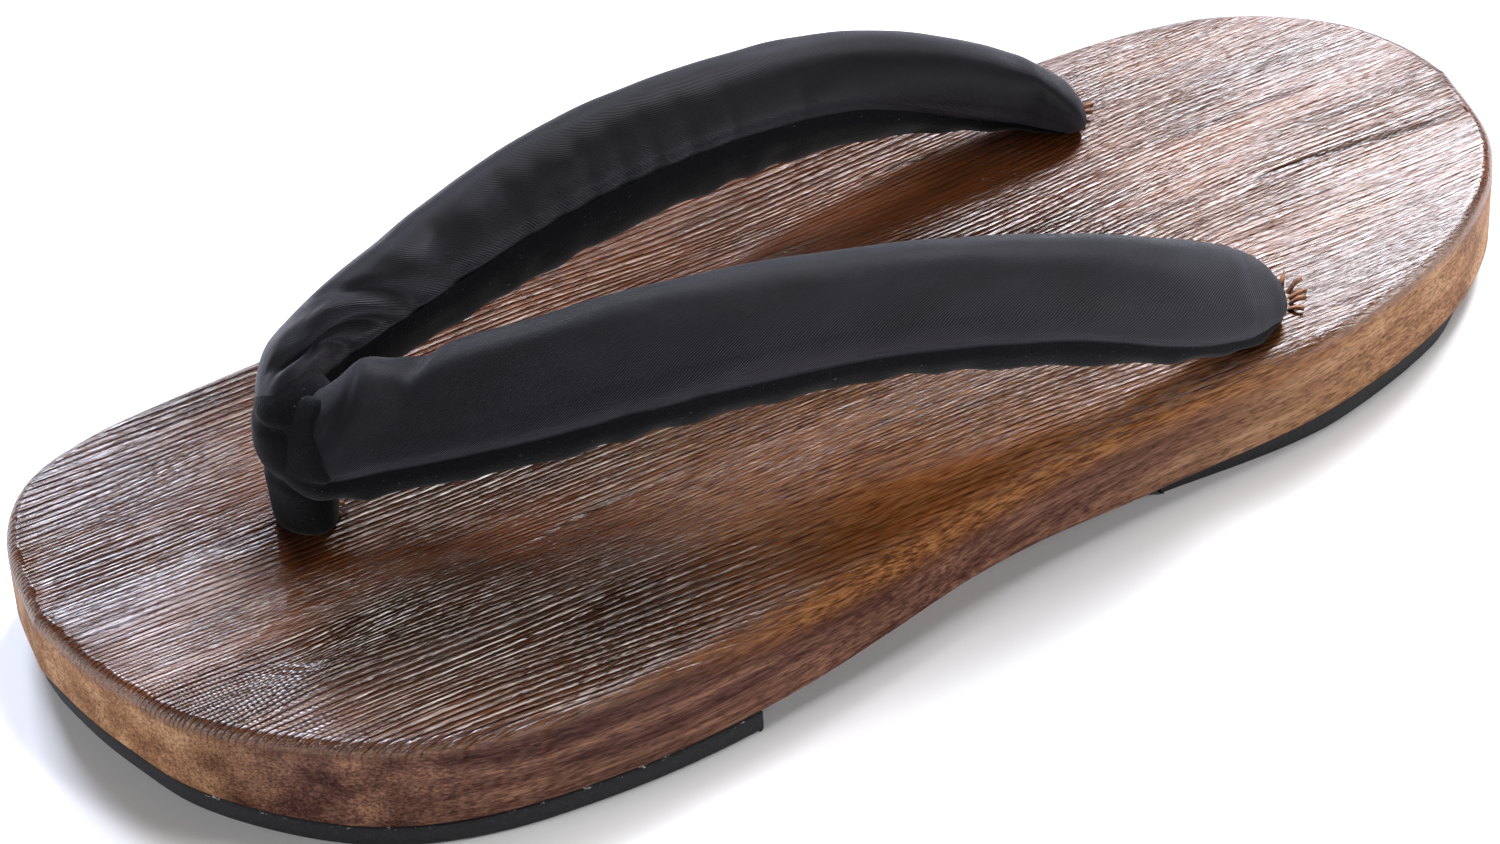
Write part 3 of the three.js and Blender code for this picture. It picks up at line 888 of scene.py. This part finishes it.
def build_post(velvet):
    """The velvet roll that holds the strap's joint to the board."""
    half = POST_BREADTH / 2
    turns = np.linspace(0, 2 * math.pi, POST_SIDES, endpoint=False)
    rings = []
    for up, back, wide, deep in smooth_rows(POST, POST_STEPS):
        lobes = 1 + LOBE_DEPTH * np.sin(LOBE_COUNT * turns + LOBE_START + LOBE_TWIST * up)
        for place, reach, pinch in POST_PINCHES:
            lobes = lobes - pinch * bell(up, place, reach)
        shift = [foot + (head - foot) * up for foot, head in zip(POST_FOOT, POST_HEAD)]
        x = TOE_HOLE[0] + wide * half * np.cos(turns) * lobes + shift[0]
        y = TOE_HOLE[1] + (back + deep * np.sin(turns) * lobes) * half + shift[1]
        z = np.full_like(x, TOP_Z + GAP + up * POST_RISE)
        rings.append(np.column_stack([x, y, z]))
    faces = grid_faces(len(rings), POST_SIDES, wrap=True)
    top = (len(rings) - 1) * POST_SIDES
    faces.append(tuple(range(POST_SIDES))[::-1])
    faces.append(tuple(range(top, top + POST_SIDES)))
    piece = new_piece("toe_post_velvet", np.vstack(rings), faces, velvet, "toe_post")
    return piece


# Materials

class Nodes:
    """Short names for the node calls that the materials share."""

    def __init__(self, name):
        """A new material with its shader."""
        self.material = bpy.data.materials.new(name)
        self.material.use_nodes = True
        self.tree = self.material.node_tree
        self.shader = self.tree.nodes["Principled BSDF"]

    def add(self, kind, **values):
        """A new node with its settings."""
        node = self.tree.nodes.new(kind)
        for key, value in values.items():
            setattr(node, key, value)
        return node

    def feed(self, value, socket):
        """Puts a number, a colour or another node's output into a socket."""
        if isinstance(value, (int, float)):
            socket.default_value = value
        elif isinstance(value, tuple):
            socket.default_value = (*value, 1.0)
        else:
            self.tree.links.new(value, socket)

    def put(self, name, value):
        """Sets or feeds one of the shader's own sockets."""
        self.feed(value, self.shader.inputs[name])

    def coordinates(self, kind):
        """Places on the object in metres, or on the cloth in millimetres."""
        return self.add("ShaderNodeTexCoord").outputs[kind]

    def stretch(self, vector, scale, unit=MM):
        """A place in the given unit of metres, stretched by a scale for each millimetre."""
        mapping = self.add("ShaderNodeMapping")
        mapping.inputs["Scale"].default_value = [s / unit for s in scale]
        self.feed(vector, mapping.inputs["Vector"])
        return mapping.outputs["Vector"]

    def place(self, scale):
        """Places on the object, stretched by a scale for each millimetre."""
        return self.stretch(self.coordinates("Object"), scale)

    def noise(self, vector, detail=3.0, roughness=0.55):
        """Smooth noise, mostly between 0.3 and 0.7."""
        node = self.add("ShaderNodeTexNoise")
        node.inputs["Scale"].default_value = 1.0
        node.inputs["Detail"].default_value = detail
        node.inputs["Roughness"].default_value = roughness
        self.feed(vector, node.inputs["Vector"])
        return node.outputs["Fac"]

    def ramp(self, factor, stops):
        """A colour from a table of places and colours."""
        node = self.add("ShaderNodeValToRGB")
        while len(node.color_ramp.elements) < len(stops):
            node.color_ramp.elements.new(0.5)
        for element, (position, color) in zip(node.color_ramp.elements, stops):
            element.position = position
            element.color = (*color, 1.0)
        self.feed(factor, node.inputs["Fac"])
        return node.outputs["Color"]

    def span(self, value, low, high, to_low=0.0, to_high=1.0):
        """The value carried from one span to another and held at its ends."""
        node = self.add("ShaderNodeMapRange")
        for key, number in (("From Min", low), ("From Max", high), ("To Min", to_low), ("To Max", to_high)):
            node.inputs[key].default_value = number
        self.feed(value, node.inputs["Value"])
        return node.outputs["Result"]

    def math(self, operation, *values):
        """One operation on numbers or outputs."""
        node = self.add("ShaderNodeMath", operation=operation)
        for socket, value in zip(node.inputs, values):
            self.feed(value, socket)
        return node.outputs["Value"]

    def plus(self, a, b):
        """The sum of two values."""
        return self.math("ADD", a, b)

    def times(self, a, b):
        """The product of two values."""
        return self.math("MULTIPLY", a, b)

    def wave(self, angle):
        """0 at each half turn of the angle and 1 between."""
        return self.math("ABSOLUTE", self.math("SINE", angle))

    def groove(self, angle, width):
        """0 in the groove at each half turn of the angle, 1 on the flat ridges between."""
        node = self.add("ShaderNodeMapRange", interpolation_type="SMOOTHSTEP")
        node.inputs["From Min"].default_value = 0.0
        node.inputs["From Max"].default_value = width
        self.feed(self.wave(angle), node.inputs["Value"])
        return node.outputs["Result"]

    def mix(self, factor, a, b):
        """Two colours mixed by the factor."""
        node = self.add("ShaderNodeMix", data_type="RGBA", blend_type="MIX")
        for place, value in ((0, factor), (6, a), (7, b)):
            self.feed(value, node.inputs[place])
        return node.outputs[2]

    def attribute(self, name):
        """A number stored on the mesh."""
        return self.add("ShaderNodeAttribute", attribute_name=name).outputs["Fac"]

    def bump(self, height, strength, distance, before=None):
        """A relief of the given depth in millimetres, on top of the one before."""
        node = self.add("ShaderNodeBump")
        node.inputs["Strength"].default_value = strength
        node.inputs["Distance"].default_value = distance * MM
        self.feed(height, node.inputs["Height"])
        if before:
            self.feed(before, node.inputs["Normal"])
        return node.outputs["Normal"]


# Wood noise: scale across, along and up for each millimetre, detail, roughness
FIBRE = ((2.4, 0.05, 2.4), 3.0, 0.65)
STREAK = ((0.2, 0.006, 0.2), 2.0, 0.5)
CLOUD = ((0.05, 0.02, 0.05), 2.0, 0.5)
PORES = ((3.2, 0.22, 3.2), 2.0, 0.6)
FLECKS = ((2.1, 0.42, 2.1), 1.0, 0.5)
GRAIN_WARP = ((0.06, 0.016, 0.06), 2.0, 0.55)
WARP_REACH = 3.0 * MM

# Colours of the wood, dark to light
# The scorched colours also paint the shade between the arms
SCORCHED_AND_SHADED = [
    (0.3, (0.0014, 0.0004, 0.0002)),
    (0.6, (0.01, 0.0027, 0.0012)),
    (0.9, (0.046, 0.0132, 0.0056)),
]
WARMED = [
    (0.3, (0.0036, 0.0008, 0.0003)),
    (0.6, (0.036, 0.0084, 0.0018)),
    (0.9, (0.15, 0.039, 0.0082)),
]
WALL = [
    (0.3, (0.028, 0.01, 0.0078)),
    (0.45, (0.075, 0.031, 0.0225)),
    (0.58, (0.16, 0.077, 0.051)),
    (0.72, (0.33, 0.17, 0.095)),
]
# Paler wall colour, painted light at the toe and heel ends
LIT_WALL_TAN = [
    (0.3, (0.13, 0.058, 0.027)),
    (0.5, (0.31, 0.155, 0.073)),
    (0.72, (0.5, 0.31, 0.17)),
]
GOLD = [
    (0.35, (0.35, 0.16, 0.055)),
    (0.5, (0.2, 0.075, 0.022)),
    (0.62, (0.065, 0.023, 0.008)),
]
FLECK_COLOR = (0.012, 0.0045, 0.0035)
CRACK_SHADE_COLOR = (0.004, 0.002, 0.002)


def warped_grain(n):
    """Places on the board, bent sideways so that the grain isn't straight."""
    scale, detail, roughness = GRAIN_WARP
    warp = n.noise(n.place(scale), detail, roughness)
    sideways = n.add("ShaderNodeCombineXYZ")
    n.feed(n.span(warp, 0.0, 1.0, -WARP_REACH, WARP_REACH), sideways.inputs[0])
    place = n.add("ShaderNodeVectorMath", operation="ADD")
    n.feed(n.coordinates("Object"), place.inputs[0])
    n.feed(sideways.outputs[0], place.inputs[1])
    return place.outputs[0]


def wood_relief(n, fibre, phase, strength):
    """Height of the brushed wood: broad and narrow grooves as deep as the brushing, and fine fibre."""
    broad = n.groove(n.times(phase, math.pi), 0.5)
    shifted = n.plus(n.times(phase, 2.3 * math.pi), n.span(fibre, 0.3, 0.7, -2.2, 2.2))
    narrow = n.groove(shifted, 0.4)
    relief = n.times(n.span(fibre, 0.34, 0.66), 0.15)
    for groove, share in ((broad, 0.6), (narrow, 0.25)):
        brushed = n.plus(n.times(n.math("SUBTRACT", groove, 1.0), strength), 1.0)
        relief = n.plus(relief, n.times(brushed, share))
    return relief


def top_color(n, relief, streak, cloud):
    """Scorched to warm brown, darker in the grooves, with painted shade between the arms where the far arm's
    reflection lies.
    """
    tone = n.plus(n.span(relief, 0.35, 1.0, 0.0, 0.7), n.times(streak, 0.3))
    warm = n.plus(n.attribute("warmth_and_shade"), n.span(cloud, 0.3, 0.7, -0.45, 0.45))
    return n.mix(n.span(warm, -0.55, 0.65), n.ramp(tone, SCORCHED_AND_SHADED), n.ramp(tone, WARMED))


def wall_color(n, fibre, streak, cloud, flecks):
    """Rust brown, with painted light making the walls paler tan towards the toe and heel, where the side
    windows light them more; with dark flecks.
    """
    tone = n.plus(n.times(streak, 0.65), n.times(n.span(fibre, 0.34, 0.66), 0.2))
    tone = n.plus(tone, n.times(cloud, 0.15))
    wall = n.mix(n.times(n.attribute("pale"), 0.8), n.ramp(tone, WALL), n.ramp(tone, LIT_WALL_TAN))
    return n.mix(n.span(flecks, 0.53, 0.62, 0.0, 0.42), wall, FLECK_COLOR)


def wood_material():
    """Scorched wood: brushed and lacquered on top, paler and smoother on the walls."""
    n = Nodes("scorched_wood")
    grain = warped_grain(n)
    fibre, streak, cloud, pores, flecks = (
        n.noise(n.stretch(grain, scale), detail, roughness)
        for scale, detail, roughness in (FIBRE, STREAK, CLOUD, PORES, FLECKS)
    )
    upward = n.attribute("upward")
    phase = n.attribute("phase")
    strength = n.attribute("strength")
    relief = wood_relief(n, fibre, phase, strength)
    color = n.mix(upward, wall_color(n, fibre, streak, cloud, flecks), top_color(n, relief, streak, cloud))
    color = n.mix(n.times(n.attribute("golden"), 0.8), color, n.ramp(pores, GOLD))
    # Painted shade: the cracks are darkened, more where they are deeper
    n.put("Base Color", n.mix(n.attribute("crack"), color, CRACK_SHADE_COLOR))
    n.put("Roughness", n.plus(n.span(relief, 0.0, 1.0, 0.6, 0.4), n.span(upward, 0.0, 1.0, 0.2, 0.0)))
    crown = n.times(n.times(n.wave(n.times(phase, math.pi)), strength), 0.3)
    height = n.times(n.plus(relief, crown), n.span(upward, 0.0, 1.0, 0.25, 1.0))
    normal = n.bump(pores, 0.2, 0.15, n.bump(height, 1.0, 0.36))
    n.put("Normal", normal)
    n.put("Specular IOR Level", 0.0)
    # Painted shade: the lacquer's shine is weakened in the grooves. The walls have less lacquer.
    coat = n.times(n.span(relief, 0.3, 0.75, 0.1, 1.0), n.span(upward, 0.0, 1.0, 0.12, 1.0))
    # Painted shade: less lacquer shine where the straps shade the top
    n.put("Coat Weight", n.times(coat, n.attribute("gloss")))
    n.put("Coat Roughness", 0.09)
    n.put("Coat IOR", 1.6)
    n.put("Coat Normal", normal)
    return n.material


def splinter_material():
    """Raw torn wood, dull and straw coloured to rust."""
    n = Nodes("torn_wood")
    fibre = n.noise(n.place((0.9, 0.4, 0.9)), 3.0)
    rust, straw = (0.09, 0.028, 0.012), (0.3, 0.13, 0.055)
    n.put("Base Color", n.ramp(fibre, [(0.35, rust), (0.6, straw)]))
    n.put("Roughness", n.span(fibre, 0.3, 0.7, 0.7, 0.9))
    n.put("Normal", n.bump(fibre, 0.5, 0.2))
    return n.material


def rubber_material():
    """Matte black foam rubber with a pebbled skin, and glue flecks along its seam with the board."""
    n = Nodes("foam_rubber")
    grain = n.noise(n.place((1.4, 1.4, 1.4)), 4.0, 0.6)
    black, dark, worn = (0.006, 0.006, 0.007), (0.016, 0.016, 0.018), (0.05, 0.05, 0.055)
    color = n.ramp(grain, [(0.35, black), (0.6, dark), (0.8, worn)])
    seam = n.span(n.attribute("seam"), 0.7, 0.9)
    glue = n.span(n.noise(n.place((0.5, 0.5, 1.2)), 4.0, 0.7), 0.6, 0.68)
    n.put("Base Color", n.mix(n.times(seam, glue), color, (0.55, 0.53, 0.5)))
    n.put("Roughness", n.span(grain, 0.3, 0.7, 0.75, 0.95))
    n.put("Normal", n.bump(grain, 0.6, 0.5))
    return n.material


def satin_material():
    """Charcoal twill with fine slanted ribs and a cool sheen."""
    n = Nodes("satin_twill")
    cloth = n.stretch(n.coordinates("UV"), (1 / TWILL_PITCH, 1 / TWILL_PITCH, 1.0), unit=1)
    parts = n.add("ShaderNodeSeparateXYZ")
    n.feed(cloth, parts.inputs[0])
    lengthwise, around = parts.outputs[0], parts.outputs[1]
    rib = n.math("SINE", n.times(n.plus(lengthwise, around), 2 * math.pi))
    slanted = n.math("SUBTRACT", around, n.times(lengthwise, 0.5))
    cross = n.math("SINE", n.times(slanted, 4 * math.pi))
    weave = n.plus(n.times(rib, 0.6), n.times(cross, 0.4))
    mottle = n.noise(n.place((0.12, 0.05, 0.12)), 2.0)
    shade = n.plus(n.span(weave, -1.0, 1.0, 0.25, 0.75), n.span(mottle, 0.3, 0.7, -0.12, 0.12))
    black, charcoal, crest = (0.002, 0.002, 0.0028), (0.006, 0.0058, 0.0082), (0.022, 0.021, 0.03)
    n.put("Base Color", n.ramp(shade, [(0.1, black), (0.5, charcoal), (0.9, crest)]))
    n.put("Roughness", n.span(weave, -1.0, 1.0, 0.55, 0.4))
    n.put("Normal", n.bump(weave, 0.6, 0.22))
    n.put("Sheen Weight", 0.24)
    n.put("Sheen Roughness", 0.25)
    n.put("Sheen Tint", (0.75, 0.76, 0.9))
    n.put("Specular IOR Level", 0.2)
    return n.material


def velvet_material():
    """Black velvet: almost no gloss, with a faint bloom and a few pale fibres."""
    n = Nodes("black_velvet")
    nap = n.noise(n.place((2.2, 2.2, 2.2)), 3.0, 0.6)
    lint = n.noise(n.place((3.4, 1.3, 3.4)), 2.0, 0.5)
    color = n.ramp(nap, [(0.3, (0.0016, 0.0016, 0.0022)), (0.7, (0.006, 0.006, 0.0078))])
    n.put("Base Color", n.mix(n.span(lint, 0.72, 0.78), color, (0.16, 0.16, 0.17)))
    n.put("Roughness", n.span(nap, 0.3, 0.7, 0.9, 1.0))
    n.put("Normal", n.bump(nap, 0.5, 0.35))
    n.put("Sheen Weight", 0.12)
    n.put("Sheen Roughness", 0.4)
    n.put("Specular IOR Level", 0.1)
    return n.material


# Studio

def build_camera():
    """The camera, at the photograph's angle to the sandal."""
    azimuth, elevation, roll = (math.radians(a) for a in (CAMERA_AZIMUTH, CAMERA_ELEVATION, CAMERA_ROLL))
    flat = math.cos(elevation)
    back = Vector((math.sin(azimuth) * flat, -math.cos(azimuth) * flat, math.sin(elevation)))
    right = (-back).cross(Vector((0, 0, 1))).normalized()
    up = right.cross(-back)
    turned_right = math.cos(roll) * right + math.sin(roll) * up
    turned_up = -math.sin(roll) * right + math.cos(roll) * up
    data = bpy.data.cameras.new("photo_camera")
    data.lens = CAMERA_LENS
    data.sensor_width = CAMERA_SENSOR
    data.clip_end = CAMERA_REACH
    camera = bpy.data.objects.new("photo_camera", data)
    bpy.context.scene.collection.objects.link(camera)
    place = Matrix((turned_right, turned_up, back)).transposed().to_4x4()
    place.translation = Vector(CAMERA_PLACE) * MM
    camera.matrix_world = place
    bpy.context.scene.camera = camera


def area_light(name, place, target, size, power, color):
    """A soft window of light, aimed at the target."""
    data = bpy.data.lights.new(name, "AREA")
    data.shape = "RECTANGLE"
    data.size, data.size_y = size
    data.energy = power
    data.color = color
    light = bpy.data.objects.new(name, data)
    bpy.context.scene.collection.objects.link(light)
    light.location = place
    aim = Vector(target) - Vector(place)
    light.rotation_euler = aim.to_track_quat("-Z", "Y").to_euler()


def paper_material():
    """Pale, faintly uneven paper."""
    n = Nodes("pale_paper")
    tint = n.ramp(n.noise(n.place((0.01, 0.01, 0.01))), [(0.3, (0.86, 0.86, 0.87)), (0.7, (0.9, 0.9, 0.9))])
    n.put("Base Color", tint)
    n.put("Roughness", 0.9)
    return n.material


def build_floor():
    """A wide paper floor under the sandal."""
    mesh = bpy.data.meshes.new("floor")
    corners = [(FLOOR_REACH * x, FLOOR_REACH * y, 0) for x, y in ((-1, -1), (1, -1), (1, 1), (-1, 1))]
    mesh.from_pydata(corners, [], [(0, 1, 2, 3)])
    mesh.materials.append(paper_material())
    floor = bpy.data.objects.new("floor", mesh)
    bpy.context.scene.collection.objects.link(floor)


def build_studio():
    """The floor, a faint light all round and the soft windows."""
    build_floor()
    world = bpy.data.worlds.new("studio")
    world.use_nodes = True
    background = world.node_tree.nodes["Background"]
    background.inputs["Color"].default_value = (*WORLD_COLOR, 1.0)
    background.inputs["Strength"].default_value = WORLD_LIGHT
    bpy.context.scene.world = world
    for name, place, aim, size, power, color in WINDOWS:
        area_light(name, place, aim, size, power, color)


bpy.context.scene.view_settings.view_transform = "Standard"
build_camera()
build_studio()
SATIN = satin_material()
VELVET = velvet_material()
RUBBER = rubber_material()
build_board(wood_material())
build_splinters(splinter_material())
build_pad("rubber_pad_front", FRONT_INSET, -HALF_LENGTH, FRONT_PAD_END, RUBBER, "outsole_front")
build_pad("rubber_pad_heel", HEEL_INSET, HEEL_PAD_START, HALF_LENGTH, RUBBER, "outsole_heel")
build_strap(SATIN, VELVET)
build_post(VELVET)
